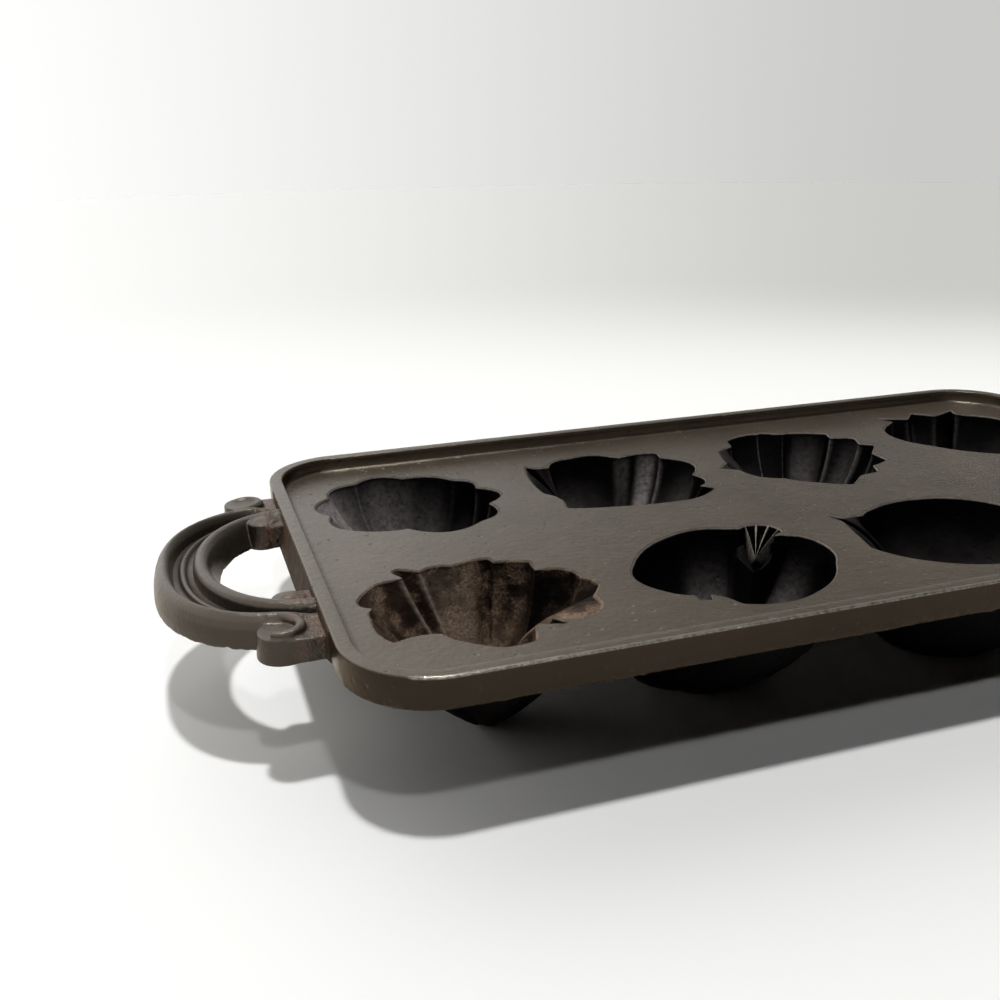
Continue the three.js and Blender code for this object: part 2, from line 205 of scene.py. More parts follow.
def castIron(name, look):
    iron = bpy.data.materials.new(name)
    iron.use_nodes = True
    nodes, links = iron.node_tree.nodes, iron.node_tree.links
    shader = nodes["Principled BSDF"]
    shader.inputs["Specular IOR Level"].default_value = look["specular"]
    shader.inputs["Specular Tint"].default_value = look["specularTint"] + (1.0,)
    coords = nodes.new("ShaderNodeTexCoord")
    split = nodes.new("ShaderNodeSeparateXYZ")
    links.new(coords.outputs["Object"], split.inputs["Vector"])
    geometry = nodes.new("ShaderNodeNewGeometry")

    def noiseOf(scale, detail, roughness=0.55):
        node = nodes.new("ShaderNodeTexNoise")
        node.inputs["Scale"].default_value = scale
        node.inputs["Detail"].default_value = detail
        node.inputs["Roughness"].default_value = roughness
        links.new(coords.outputs["Object"], node.inputs["Vector"])
        return node.outputs["Fac"]

    def spread(value, low, high, toLow=0.0, toHigh=1.0):
        node = nodes.new("ShaderNodeMapRange")
        node.inputs["From Min"].default_value = low
        node.inputs["From Max"].default_value = high
        node.inputs["To Min"].default_value = toLow
        node.inputs["To Max"].default_value = toHigh
        links.new(value, node.inputs["Value"])
        return node.outputs["Result"]

    def sums(how, first, second=None):
        node = nodes.new("ShaderNodeMath")
        node.operation = how
        links.new(first, node.inputs[0])
        if second:
            links.new(second, node.inputs[1])
        return node.outputs["Value"]

    def blended(share, first, second, how="MIX"):
        node = nodes.new("ShaderNodeMix")
        node.data_type = "RGBA"
        node.blend_type = how
        if share:
            links.new(share, node.inputs["Factor"])
        else:
            node.inputs["Factor"].default_value = 1.0
        for socket, colour in ((node.inputs[6], first), (node.inputs[7], second)):
            if isinstance(colour, tuple):
                socket.default_value = colour + (1.0,)
            else:
                links.new(colour, socket)
        return node.outputs[2]

    mottle = noiseOf(look["mottleScale"], 5)
    colour = blended(spread(mottle, *look["mottle"]), look["dark"], look["light"])
    if "lipColours" in look:      # a cup is as grey as the deck at its mouth
        lip = blended(spread(noiseOf(look["lipMottle"], 5), *casting["lipMottled"]), *look["lipColours"])
        colour = blended(spread(split.outputs["Z"], look["lipFrom"], deckZ), colour, lip)
    # upright faces are coloured darker than the tops: partly a darker skin that hands and cloths don't wear,
    # partly a painted shade
    facing = nodes.new("ShaderNodeSeparateXYZ")
    links.new(geometry.outputs["Normal"], facing.inputs["Vector"])
    sideShading = blended(spread(facing.outputs["Z"], *look["upFrom"]), look["paintedSideShade"], (1.0, 1.0, 1.0))
    colour = blended(None, colour, sideShading, "MULTIPLY")
    speck = spread(noiseOf(look["speckScale"], 2, 0.7), *casting["speckFrom"], 0.0, look["speck"])
    colour = blended(speck, colour, look["speckColour"])
    pits = nodes.new("ShaderNodeTexVoronoi")
    pits.inputs["Scale"].default_value = look["pitScale"]
    links.new(coords.outputs["Object"], pits.inputs["Vector"])
    pitted = sums("MULTIPLY", spread(pits.outputs["Distance"], *casting["pitEdge"], look["pitDark"], 0.0),
                  spread(noiseOf(casting["pitGroups"], 2), *casting["pitFrom"]))
    colour = blended(pitted, colour, look["speckColour"])
    patch = spread(noiseOf(look["rustScale"], 4, 0.65),
                   look["rustFrom"], look["rustFrom"] + casting["rustSpan"], 0.0, look["rust"])
    nearRoot = None
    if "rootRust" in look:        # rust and a coarse skin gather where the handle leaves the plate
        nearRoot = spread(sums("ABSOLUTE", split.outputs["X"]), *look["rootRust"], 1.0, 0.0)
        damp = spread(noiseOf(casting["dampScale"], 3, 0.6), *casting["dampFrom"])
        patch = sums("MAXIMUM", patch, sums("MULTIPLY", nearRoot, damp))
    # none lies on the undersides
    patch = sums("MULTIPLY", patch, spread(facing.outputs["Z"], *casting["rustFacing"]))
    crumbs = spread(noiseOf(look["crumbScale"], 3, 0.7), *casting["crumbFrom"], casting["crumbLeast"], 1.0)
    colour = blended(sums("MULTIPLY", patch, crumbs), colour, look["rustColour"])
    # soot colour where marks fall below nought, a painted shade; wear and painted light where marks rise
    # above it; worn corners on a close mesh
    rubbedAndLit = nodes.new("ShaderNodeAttribute")
    rubbedAndLit.attribute_name = "wearAndPaintedLight"
    wornAndLit = rubbedAndLit.outputs["Fac"]
    colour = blended(spread(wornAndLit, 0.0, -1.0), colour, look["paintedShade"])
    if "wearFrom" in look:
        corner = spread(geometry.outputs["Pointiness"],
                        look["wearFrom"], look["wearFrom"] + casting["cornerSpan"])
        wornAndLit = sums("MAXIMUM", corner, wornAndLit)
    broken = spread(noiseOf(look["wearScale"], 4, 0.65), *casting["wornFrom"], *look["wearAndPaintedLight"])
    wornAndLit = sums("MULTIPLY", wornAndLit, broken)
    colour = blended(wornAndLit, colour, look["wornAndLitColour"])
    links.new(colour, shader.inputs["Base Color"])
    skin = spread(facing.outputs["Z"], *look["upFrom"], look["sideMetal"], look["metallic"])
    bare = nodes.new("ShaderNodeMix")
    bare.inputs["B"].default_value = look["wornMetal"]
    links.new(wornAndLit, bare.inputs["Factor"])
    links.new(skin, bare.inputs["A"])
    links.new(bare.outputs["Result"], shader.inputs["Metallic"])
    rough = spread(noiseOf(casting["roughScale"], 4), *casting["roughFrom"], *look["roughness"])
    rough = sums("MULTIPLY", rough, spread(wornAndLit, 0.0, 1.0, 1.0, casting["rubbedRough"]))
    links.new(rough, shader.inputs["Roughness"])

    # sand-cast skin: fine grain over slow waves, with a few pits
    hollow = spread(pits.outputs["Distance"], *casting["pitSlope"])
    skins = [(noiseOf(casting["waveScale"], 2), look["waves"]),
             (noiseOf(casting["lumpScale"], 3), look["lumps"]),
             (noiseOf(casting["grainScale"], 4, 0.7), look["grain"]), (hollow, look["pits"])]
    if nearRoot:
        coarse = sums("MULTIPLY", nearRoot, noiseOf(casting["rootScale"], 3, 0.65))
        skins.append((coarse, casting["rootLumps"]))
    chain = None
    for height, distance in skins:
        bump = nodes.new("ShaderNodeBump")
        bump.inputs["Strength"].default_value = 1.0
        bump.inputs["Distance"].default_value = distance
        links.new(height, bump.inputs["Height"])
        if chain:
            links.new(chain, bump.inputs["Normal"])
        chain = bump.outputs["Normal"]
    links.new(chain, shader.inputs["Normal"])
    return iron


deckLook = dict(
    dark=(0.066, 0.053, 0.040), light=(0.082, 0.067, 0.050), mottle=(0.35, 0.65), mottleScale=38,
    paintedSideShade=(0.34, 0.29, 0.25), upFrom=(0.35, 0.92),
    speck=0.5, speckScale=1300, speckColour=(0.030, 0.024, 0.019), crumbScale=1300,
    rust=0.2, rustScale=55, rustFrom=0.62, rustColour=(0.080, 0.045, 0.026), paintedShade=(0.006, 0.005, 0.005),
    wearAndPaintedLight=(0.1, 0.9), wearScale=800, wornAndLitColour=(0.40, 0.37, 0.32), wornMetal=0.6,
    metallic=0.0, sideMetal=0.9, specular=1.0, specularTint=(1.0, 0.88, 0.74), roughness=(0.20, 0.28),
    waves=0.00018, lumps=0.00012, grain=0.00007, pits=0.00016, pitScale=190, pitDark=0.9,
)
cupLook = dict(
    deckLook, dark=(0.010, 0.009, 0.009), light=(0.050, 0.044, 0.042), mottle=(0.40, 0.64), mottleScale=42,
    # steep walls of the hollows are tinted near black, a painted shade
    paintedSideShade=(0.07, 0.065, 0.07), upFrom=(0.2, 0.62), sideMetal=0.0,
    specular=0.02, specularTint=(1.0, 1.0, 1.0), roughness=(0.36, 0.5),
    lipColours=(deckLook["dark"], deckLook["light"]), lipMottle=deckLook["mottleScale"],
    lipFrom=deckZ - 1.0 * mm, speckScale=800, speckColour=(0.008, 0.007, 0.007),
    rust=0.1, pitDark=0.0, lumps=0.0002,
    wearAndPaintedLight=(0.45, 1.0), wearScale=520, wornAndLitColour=(0.38, 0.345, 0.335), wornMetal=0.1,
)
rustyCupLook = dict(
    cupLook, dark=(0.026, 0.016, 0.011), light=(0.118, 0.078, 0.053), mottle=(0.35, 0.65),
    paintedSideShade=(0.22, 0.19, 0.18), lipFrom=deckZ - 0.5 * mm, roughness=(0.5, 0.7), lumps=0.0005, grain=0.0002,
    speck=0.85, speckScale=1000, speckColour=(0.006, 0.004, 0.003),
    rust=0.8, rustScale=110, rustFrom=0.46, rustColour=(0.29, 0.200, 0.138), wornAndLitColour=(0.25, 0.205, 0.165),
)
# near-black iron is a painted shade in the leaf's grooves
leafLook = dict(
    cupLook, dark=(0.006, 0.005, 0.005), light=(0.010, 0.009, 0.008), wornAndLitColour=(0.36, 0.33, 0.29),
    specular=0.0, roughness=(0.7, 0.85), lipFrom=deckZ - 0.1 * mm,
)
handleLook = dict(
    deckLook, dark=(0.044, 0.036, 0.028), light=(0.062, 0.052, 0.042), paintedSideShade=(0.5, 0.46, 0.43),
    upFrom=(0.25, 0.75), sideMetal=0.6, roughness=(0.28, 0.38), lumps=0.00016, grain=0.0001,
    rust=0.15, rustScale=60, rustFrom=0.6, rustColour=(0.135, 0.062, 0.036),
    rootRust=(endX + 5 * mm, endX + 11 * mm), wearAndPaintedLight=(0.1, 0.3), wearFrom=0.62, wornAndLitColour=(0.30, 0.27, 0.23),
)
rootLook = dict(
    handleLook, dark=(0.060, 0.046, 0.034), light=(0.090, 0.072, 0.056), specular=0.25, roughness=(0.6, 0.75),
    rust=0.5, rustFrom=0.5, rustColour=(0.140, 0.066, 0.038), crumbScale=700, lumps=0.0004, grain=0.0002,
)
del rootLook["rootRust"], rootLook["wearFrom"]      # as rusty all along, with no rubbed corners
deckIron = castIron("deckIron", deckLook)
cupIron = castIron("cupIron", cupLook)
rustyCupIron = castIron("rustyCupIron", rustyCupLook)
leafIron = castIron("leafIron", leafLook)
handleIron = castIron("handleIron", handleLook)
rootIron = castIron("rootIron", rootLook)
print("iron mixed")


# cups, drawn in millimetres about their own centres: outline is [x, y, swell],
# scoops [x, y, reach, fullness], ribs [x, y, rub] and patches [x, y, reach, rub, power] of wear and painted
# light, where a rub below nought is painted shade and comes last
columnPitch, rowPitch = 77, 85.5
pole = 0.02      # share of a loop that is left for the face that closes it
mouth = dict(
    spacing=0.75, rounding=1, lip=0.7, lipRoom=0.4, lipReach=4.0, lipSteps=5, lipWear=0.45, collar=1.08,
    rings=18, straightRings=2, floor=4 * mm, ribReach=3.5, ridgeFrom=0.35, ridgeSpan=0.5, ridgeSpill=0.4,
)
shell = dict(
    wall=4.0, rounding=12, slowRounding=60, rings=10, ringRounding=4, sole=0.86, heel=0.97, heelUp=0.4 * mm,
    # soot on the shell under the deck is a painted shade under the pan
    flange=1.4, tuck=0.4 * mm, paintedShade=-0.85,
)
plainCup = dict(
    iron=cupIron, slot="cup_iron", fade=2, shift=(0, 0), sunkShift=(0, 0),
    scoops=[], ridge=0.15, ribs=[], wearAndLightPatches=[],
)

cups = [
    dict(plainCup, node="cup_melon", column=0, row=1,
         floorShare=0.14, fullness=1.5, footShare=0.34, outFullness=1.6,
         scoops=[[-27, 4, 17, 1.0], [24, 6, 13, 2.1]], ribs=[[-14.8, 24.9, 1]],
         wearAndLightPatches=[[-28, 6, 20, 1.2, 0.2], [-5, 27, 12, 0.6, 0.5], [10, 24, 9, 0.6, 1.5]],
         outline=[[24.2, -11.4, 6.6], [24.7, 5.8, 3.2], [19.5, 16.5, 3.2], [2.5, 25, 5], [-14.8, 24.9, 4],
                  [-26.5, 12.8, 5], [-28.5, -5.3, 1.6], [-28, -17.4, 2.6], [-7.2, -25.3, 6.4],
                  [16.5, -27, 4.4]]),
    dict(plainCup, node="cup_berry", column=1, row=1,
         floorShare=0.2, fullness=1.7, footShare=0.36, outFullness=1.8, fade=14,
         scoops=[[-30, 12, 13, 0.8], [27, -24, 5, 0.9]], ribs=[[25, 17, 1]],
         wearAndLightPatches=[[-10, 25, 6, 1.8, 3], [12, 19.5, 3.5, 0.6, -2], [22, 20.5, 3.5, 0.9, 0],
                  [27, 3, 6, 1.5, 1.5]],
         outline=[[25.9, 19.8, 2.4], [9.4, 18.5, 4.4], [-8, 25.5, 2.8], [-19.4, 17.9, 0], [-24.9, 18.4, 0],
                  [-27.6, 21.5, 1.4], [-31.3, -9, 0], [-28.4, -13.4, 0], [-27.5, -18.6, 0],
                  [-29.1, -25.8, 0.5], [-14.5, -29.8, 1], [13.5, -32.4, 1.2], [27.1, -24.6, 0],
                  [22.6, -21.6, 3.4], [26.5, -8.4, 6.8], [24.6, 14.1, 0]]),
    dict(plainCup, node="cup_pineapple", column=2, row=1,
         floorShare=0.18, fullness=1.5, footShare=0.36, outFullness=1.6,
         scoops=[[-36, -6, 7, 0.7], [-27, 13, 6, 0.8]], ridge=0.4, ribs=[[0, 28.8, 1], [8, 23.4, 0.6]],
         wearAndLightPatches=[[17, 22, 6, 0.4, 0.6], [28, 8, 5, 0.35, 0.6], [4, 27, 7, -0.6, 0]],
         outline=[[33.6, -1.4, 0], [28.7, 1.9, 0], [31.6, 8.7, 0.5], [27.4, 11.6, 0], [22.4, 11.8, 0],
                  [24.9, 18.6, 0.8], [10.4, 25.1, 0], [7.8, 23.4, 0.6], [0.4, 29.4, 0], [-1, 28.2, 0.6],
                  [-6.4, 28.9, 0.8], [-17.2, 24.6, 0], [-19.5, 17, 0], [-27.4, 13.2, 0.4],
                  [-31.6, -1, 0], [-37.4, -6.4, 0], [-31.5, -10.5, 0.8], [-28.5, -20.5, 0.4],
                  [-21.5, -24.6, 0.6], [-15, -31.4, 0.5], [-3, -39, 0], [5.6, -31.3, 0], [14, -30, 0],
                  [17, -23, 0.5], [26, -19, 0], [26, -10, 0]]),
    dict(plainCup, node="cup_strawberry", column=3, row=1,
         floorShare=0.22, fullness=1.5, footShare=0.36, outFullness=1.7, fade=8,
         outline=[[0, -32, 3], [24, -10, 4], [27, 14, 1], [16, 23, 0], [19, 30, 0], [7, 25, 0],
                  [0, 32, 0], [-7, 25, 0], [-19, 30, 0], [-16, 23, 1], [-27, 14, 4], [-24, -10, 3]]),
    dict(plainCup, node="cup_grape_bunch", column=0, row=0, iron=rustyCupIron, slot="rusty_cup_iron",
         floorShare=0.08, fullness=1.12, footShare=0.12, outFullness=1.12,
         scoops=[[25, -15, 11, 0.55], [13, 25, 8, 1.7], [25, 12, 8, 1.9]],
         ribs=[[-18.2, 21.4, 1], [-12.4, 24.7, 1]],
         wearAndLightPatches=[[-3, 26, 8, 0.5, 0.6], [24, 15, 9, -1.0, -0.8], [-30, 4, 14, -0.45, -0.2],
                  [29, -4, 10, -1.0, 0]],
         outline=[[32.8, -1.7, 0.8], [30, 4.6, 0], [29.4, 9.7, 1.6], [19.2, 13.6, 0], [20, 20.8, 0.4],
                  [9.8, 24, 0], [9.2, 27.4, 0.8], [-2.6, 25.4, 1.8], [-12.4, 24.7, 0], [-18.4, 28.6, 0],
                  [-20.3, 27.4, 0], [-18.2, 21.4, 0], [-25.6, 20.6, 0.8], [-33.5, 10.6, 1],
                  [-30.6, 4.6, 0.8], [-32, -1, 1.6], [-29.6, -16.6, -1.2], [-17, -15.6, 0],
                  [-14.4, -20.2, 0.4], [-4.5, -28.2, 0.6], [4.6, -27.5, 0], [7, -20.3, 0], [8.6, -19, 0],
                  [15.8, -21.4, 0], [12.5, -17.6, 0.8], [24, -18.8, 2.2], [28.4, -8, 0]]),
    dict(plainCup, node="cup_apple", column=1, row=0,
         floorShare=0.24, fullness=2.0, footShare=0.44, outFullness=1.6, fade=50,
         shift=(-20, 16), sunkShift=(-3, 2), ridge=0, tongue=[(21, 12.8), (12.5, 8.5), (14, 21.9)],
         # the apple's patches paint light on its two lit humps and a painted shadow under the leaf
         wearAndLightPatches=[[5, 25, 7.5, 1.8, 2.2], [27, 10, 7, 2.2, 2.0], [20.5, 19.5, 6.5, -1.6, -0.3]],
         outline=[[-12.3, -26.7, 3], [10.3, -26.8, 2], [26.9, -11.5, 2.2], [31.4, 5.7, 2.7],
                  [21, 12.8, 0], [26, 16, 0.6], [24.6, 22, 0.6], [18.2, 24.2, 0.4], [14, 21.9, 3.5],
                  [-9, 24.6, 2.2], [-28.6, 8, 4],
                  [-28.6, -12, 0.8], [-21.8, -17.4, 0], [-22.2, -20.6, 0], [-19, -21.6, 0], [-18, -18.6, 0],
                  [-14.5, -21.5, 0]]),
    dict(plainCup, node="cup_plum", column=2, row=0,
         floorShare=0.26, fullness=1.8, footShare=0.42, outFullness=1.7, fade=70, ridge=0,
         scoops=[[-27, 19, 8, 0.7]],
         outline=[[-33, -5.7, 1.5], [-22, -21, 2], [0, -29, 2], [20, -22, 2.5], [31, -3, 2.5],
                  [26, 17, 2], [8, 26, 1.5], [-11.6, 23.2, 0.5], [-18.6, 19.2, 0], [-26.3, 19.2, 0],
                  [-29.9, 24, 0], [-27.8, 16.5, 0], [-31, 3, 0]]),
    dict(plainCup, node="cup_pear", column=3, row=0,
         floorShare=0.26, fullness=1.6, footShare=0.42, outFullness=1.7, fade=70,
         outline=[[-24, -22, 4], [2, -28, 3.5], [17, -8, -1.5], [27, 12, 2], [24, 22, 0], [28, 27, 0],
                  [25, 30, 0], [20, 25, 2], [9, 26, -1.5], [-9, 17, 3.5], [-29, 3, 5]]),
]


def superCurve(part, fullness):
    # share kept across and share gone down, for part 0 at the mouth to 1 at the floor
    turn = part * math.pi / 2
    across = abs(math.cos(turn)) ** (2 / fullness) if part < 1 else 0.0
    return across, math.sin(turn) ** (2 / fullness)


def cupCentre(cup):
    return Vector(((cup["column"] - 1.5) * columnPitch, (cup["row"] - 0.5) * rowPitch))


def nearTo(point, x, y, reach):
    # 1 at the place itself, gone a little past its reach
    return math.exp(-((point - Vector((x, y))).length / reach) ** 4)


def castCup(cup):
    centre = cupCentre(cup)
    edge = eased(drawnLoop(cup["outline"], mouth["spacing"]), mouth["rounding"])
    count = len(edge)
    ways = outwards(eased(edge, 2))
    lips = [min(mouth["lip"], mouth["lipRoom"] * room) for room in roomBehind(edge, ways, mouth["lipReach"])]
    lips = [min(lips[(i + k) % count] for k in (-2, -1, 0, 1, 2)) for i in range(count)]
    lips = eased(lips, 3)
    slowWays = outwards(eased(edge, shell["slowRounding"]))
    skirt = [point + shell["wall"] * way for point, way in zip(eased(edge, shell["rounding"]), slowWays)]
    shift, sunkShift = Vector(cup["shift"]), Vector(cup["sunkShift"])
    # ridges that stand in between two flutes are marked bright: partly wear, partly a painted highlight
    ridges = []
    for i in range(count):
        back, on = edge[i] - edge[i - 2], edge[(i + 2) % count] - edge[i]
        rubbedAndLit = cup["ridge"]
        for x, y, strength in cup["ribs"]:
            rubbedAndLit = max(rubbedAndLit, strength * nearTo(edge[i], x, y, mouth["ribReach"]))
        sharp = (back.angle_signed(on) - mouth["ridgeFrom"]) / mouth["ridgeSpan"]
        ridges.append(min(1.0, max(0.0, sharp)) * rubbedAndLit)
    spill = mouth["ridgeSpill"]
    ridges = [max(ridges[i], spill * ridges[i - 1], spill * ridges[(i + 1) % count]) for i in range(count)]
    # below its lip the apple's wall runs in under the leaf
    sunkEdge = list(edge)
    if "tongue" in cup:
        first, tip, last = [Vector(point) for point in cup["tongue"]]
        start = min(range(count), key=lambda i: (edge[i] - first).length)
        stop = min(range(count), key=lambda i: (edge[i] - last).length)
        for i in range(start, stop + 1):
            t = 2 * (i - start) / (stop - start)
            sunkEdge[i] = first.lerp(tip, t) if t < 1 else tip.lerp(last, t - 1)
    # the wall leans more where a leaf or petal runs out to the mouth
    fullness = []
    for point in edge:
        full = cup["fullness"]
        for x, y, reach, scooped in cup["scoops"]:
            full += (scooped - full) * nearTo(point, x, y, reach)
        fullness.append(full)

    def placed(points, heights):
        if not isinstance(heights, list):
            heights = [heights] * len(points)
        return [Vector(((centre + p).x * mm, (centre + p).y * mm, h)) for p, h in zip(points, heights)]

    foot = cup["footShare"]
    underFoot = shift * (1 - foot)
    rings = [placed([p * pole + underFoot for p in skirt], 0.0)]
    for step in range(shell["rings"], -1, -1):       # foot to the underside of the deck
        loop = eased(skirt, shell["ringRounding"] * step)
        if step == shell["rings"]:
            rings.append(placed([p * foot * shell["sole"] + underFoot for p in loop], 0.0))
            rings.append(placed([p * foot * shell["heel"] + underFoot for p in loop], shell["heelUp"]))
            continue
        points, heights = [], []
        for point, full in zip(loop, fullness):
            # the shell swells where the hollow is scooped fuller
            swollen = cup["outFullness"] + max(0.0, full - cup["fullness"])
            across, down = superCurve(step / shell["rings"], swollen)
            share = foot + (1 - foot) * across
            points.append(point * share + shift * (1 - share))
            heights.append(underZ * (1 - down))
        rings.append(placed(points, heights))
    tucked = underZ + shell["tuck"]
    rings.append(placed([p + shell["flange"] * way for p, way in zip(skirt, slowWays)], tucked))
    paintedShadeRings = len(rings)
    collar = [p + mouth["collar"] * lip * way for p, lip, way in zip(edge, lips, ways)]
    rings.append(placed(collar, tucked))
    rings.append(placed(collar, deckZ))
    for step in range(mouth["lipSteps"] + 1):   # rounded lip of the mouth
        turn = step * math.pi / (2 * mouth["lipSteps"])
        rings.append(placed([p + lip * (1 - math.sin(turn)) * way for p, lip, way in zip(edge, lips, ways)],
                            [deckZ - lip * (1 - math.cos(turn)) * mm for lip in lips]))
    plain = len(rings)
    floor = cup["floorShare"]
    for step in range(1, mouth["rings"] + 1):   # hollow, its flutes fading as it goes down
        part = step / mouth["rings"]
        loop = eased(edge if step <= mouth["straightRings"] else sunkEdge, round(cup["fade"] * part ** 1.5))
        points, heights = [], []
        for point, lip, full in zip(loop, lips, fullness):
            across, down = superCurve(part, full)
            share = floor + (1 - floor) * across
            points.append(point * share + sunkShift * (1 - share))
            heights.append(deckZ - lip * mm - (deckZ - lip * mm - mouth["floor"]) * down)
        rings.append(placed(points, heights))
    middle = sunkShift * (1 - floor)
    rings.append(placed([p * 0.5 * floor + middle for p in loop], mouth["floor"] - 0.3 * mm))
    rings.append(placed([p * pole + middle for p in loop], mouth["floor"] - 0.4 * mm))
    # painted shade below the deck, a rubbed band on the lip, then the marks of the hollow: wear with painted
    # light, and painted shade
    clean, band = [0.0] * count, [mouth["lipWear"]] * count
    wearAndLightMarks = [[shell["paintedShade"]] * count] * paintedShadeRings + [clean] * (plain - paintedShadeRings - 4) + [band] * 3 + [clean]
    for step in range(len(rings) - plain):
        part = min(1.0, (step + 1) / mouth["rings"])
        marks = list(ridges)
        for x, y, reach, strength, power in cup["wearAndLightPatches"]:
            deep = part ** power if power >= 0 else (1 - part) ** -power
            for i in range(count):
                near = nearTo(edge[i], x, y, reach) * deep
                marks[i] = max(marks[i], strength * near) if strength > 0 else marks[i] + strength * near
        wearAndLightMarks.append(marks)
    piece = extrudeRings(cup["node"] + "_cast", rings, wearAndLightMarks=wearAndLightMarks)
    smoothByAngle(piece, 40)
    dress(piece, cup["iron"], cup["slot"], cup["node"])
    return piece, placed(collar, deckZ)


castCups = {}
holes = []
for cup in cups:
    castCups[cup["node"]], hole = castCup(cup)
    holes.append(hole)
print("cups cast:", len(holes))


# ribbed leaf that hangs into the mouth between the apple's two lobes
leaf = dict(
    cup="cup_apple", tip=(12, 7.8), turns=(36, 71), reach=20, stub=0.5, ribs=4, dip=4.0, least=0.15, sag=1.6,
    groove=3.4, grooveShare=0.28, keel=5, steps=24, points=72, underPoints=18,
)


def castLeaf(apple, stem):
    rings, wearAndLightMarks = [], []
    for step in range(leaf["steps"] + 1):
        part = step / leaf["steps"]
        away = leaf["stub"] + (leaf["reach"] - leaf["stub"]) * part
        rib = leaf["least"] + leaf["dip"] * (1 - part) ** leaf["sag"]          # the ribs sink towards the tip
        cut = min(leaf["groove"], leaf["grooveShare"] * away)
        under = rib + cut + 1 + leaf["keel"] * math.sin(math.pi * part)
        top, crests = [], []
        for point in range(leaf["points"] + 1):
            share = point / leaf["points"]
            turn = math.radians(leaf["turns"][0] + (leaf["turns"][1] - leaf["turns"][0]) * share)
            crest = abs(math.cos((leaf["ribs"] - 1) * math.pi * share)) ** 2
            top.append((turn, rib + cut * (1 - crest)))
            crests.append(max(0.0, 10 * crest - 9))       # only the very tops are marked bright: a painted highlight, partly wear
        section = top + [(turn, under) for turn, _ in top[::-leaf["underPoints"]]]
        wearAndLightMarks.append(crests + [0.0] * (len(section) - len(crests)))
        rings.append([Vector(((stem.x + away * math.cos(turn)) * mm, (stem.y + away * math.sin(turn)) * mm,
                              deckZ - depth * mm)) for turn, depth in section])
    fan = extrudeRings("leaf", rings, wearAndLightMarks=wearAndLightMarks)
    smoothByAngle(fan, 35)
    fan.data.materials.append(leafIron)
    joinInto(apple, fan)


appleCup = next(cup for cup in cups if cup["node"] == leaf["cup"])
castLeaf(castCups[leaf["cup"]], cupCentre(appleCup) + Vector(leaf["tip"]))
print("leaf set in the apple")


# plate, filled between its edge and the mouths
plate = dict(corner=25, cornerSteps=24, stride=2.0, inset=0.6)


def plateLoop(inset, height):
    # rounded rectangle that runs inset inside the edge of the plate
    radius = plate["corner"] - inset
    x, y = endX / mm - plate["corner"], sideY / mm - plate["corner"]
    loop = []
    for turn, (cornerX, cornerY) in enumerate(((x, y), (-x, y), (-x, -y), (x, -y))):
        for step in range(plate["cornerSteps"] + 1):
            angle = (turn + step / plate["cornerSteps"]) * math.pi / 2
            loop.append(Vector(((cornerX + radius * math.cos(angle)) * mm,
                                (cornerY + radius * math.sin(angle)) * mm, height)))
        start = loop[-1]
        side = 2 * x * mm if turn % 2 == 0 else 2 * y * mm
        way = (Vector((-1, 0, 0)), Vector((0, -1, 0)), Vector((1, 0, 0)), Vector((0, 1, 0)))[turn]
        steps = round(side / mm / plate["stride"])
        loop += [start + way * side * step / steps for step in range(1, steps)]
    return loop


def insetAt(point):
    # how far inside the plate's edge a point lies, in millimetres
    dx = abs(point.x) / mm - (endX / mm - plate["corner"])
    dy = abs(point.y) / mm - (sideY / mm - plate["corner"])
    if dx > 0 and dy > 0:
        return plate["corner"] - math.hypot(dx, dy)
    return plate["corner"] - max(dx, dy)


def layLoop(points):
    deselectAll()
    bpy.ops.mesh.primitive_circle_add(vertices=len(points), radius=0.03)
    loop = bpy.context.object
    for vertex, point in zip(loop.data.vertices, points):
        vertex.co = point
    return loop


deck = layLoop(plateLoop(plate["inset"], deckZ))
deck.name = "deck_cast"
joinInto(deck, *[layLoop(hole) for hole in holes])
bpy.ops.object.mode_set(mode="EDIT")
bpy.ops.mesh.select_all(action="SELECT")
bpy.ops.mesh.fill(use_beauty=True)
bpy.ops.mesh.select_all(action="SELECT")
bpy.ops.mesh.normals_make_consistent(inside=False)
bpy.ops.object.mode_set(mode="OBJECT")
if deck.data.polygons[0].normal.z < 0:
    deck.data.flip_normals()
slab = deck.modifiers.new("slab", "SOLIDIFY")
slab.thickness = deckZ - underZ
slab.offset = -1
bpy.ops.object.modifier_apply(modifier="slab")
dress(deck, deckIron, "deck_iron", "deck_plate")
print("deck filled:", len(deck.data.polygons), "faces")

rimCast = dict(
    # inset from the outer wall and height above the underside of the deck, round the section
    section=[(1.3, 0.0), (0.45, 0.15), (0.0, 0.7), (0.0, 3.0), (0.0, 8.2), (0.1, 8.66), (0.34, 8.92),
             (0.7, 9.0), (0.95, 9.0), (2.2, 9.0), (3.8, 9.0), (4.15, 8.93), (4.4, 8.65), (4.5, 7.8),
             (4.7, 5.6), (5.0, 4.75), (5.6, 4.25), (6.4, 4.04), (7.2, 3.97), (7.2, 2.6), (1.3, 2.6)],
    ragged=0.4, raggedBand=1, raggedSeed=4, rubbedAndLitFrom=0.6, rubbedAndLitInset=0.8, rubbedAndLitBand=3,
)
section = rimCast["section"] + rimCast["section"][:1]
rimRings = [plateLoop(inset, underZ + height * mm) for inset, height in section]
rim = extrudeRings("rim_cast", rimRings, loopBack=True)
bpy.ops.object.mode_set(mode="EDIT")
bpy.ops.mesh.select_all(action="DESELECT")
shape = bmesh.from_edit_mesh(rim.data)
band = rimCast["raggedBand"]
for vertex in shape.verts:
    onEdge = vertex.co.z < underZ + band * mm and insetAt(vertex.co) < band
    vertex.select_set(onEdge)
shape.select_flush(True)
bmesh.update_edit_mesh(rim.data)
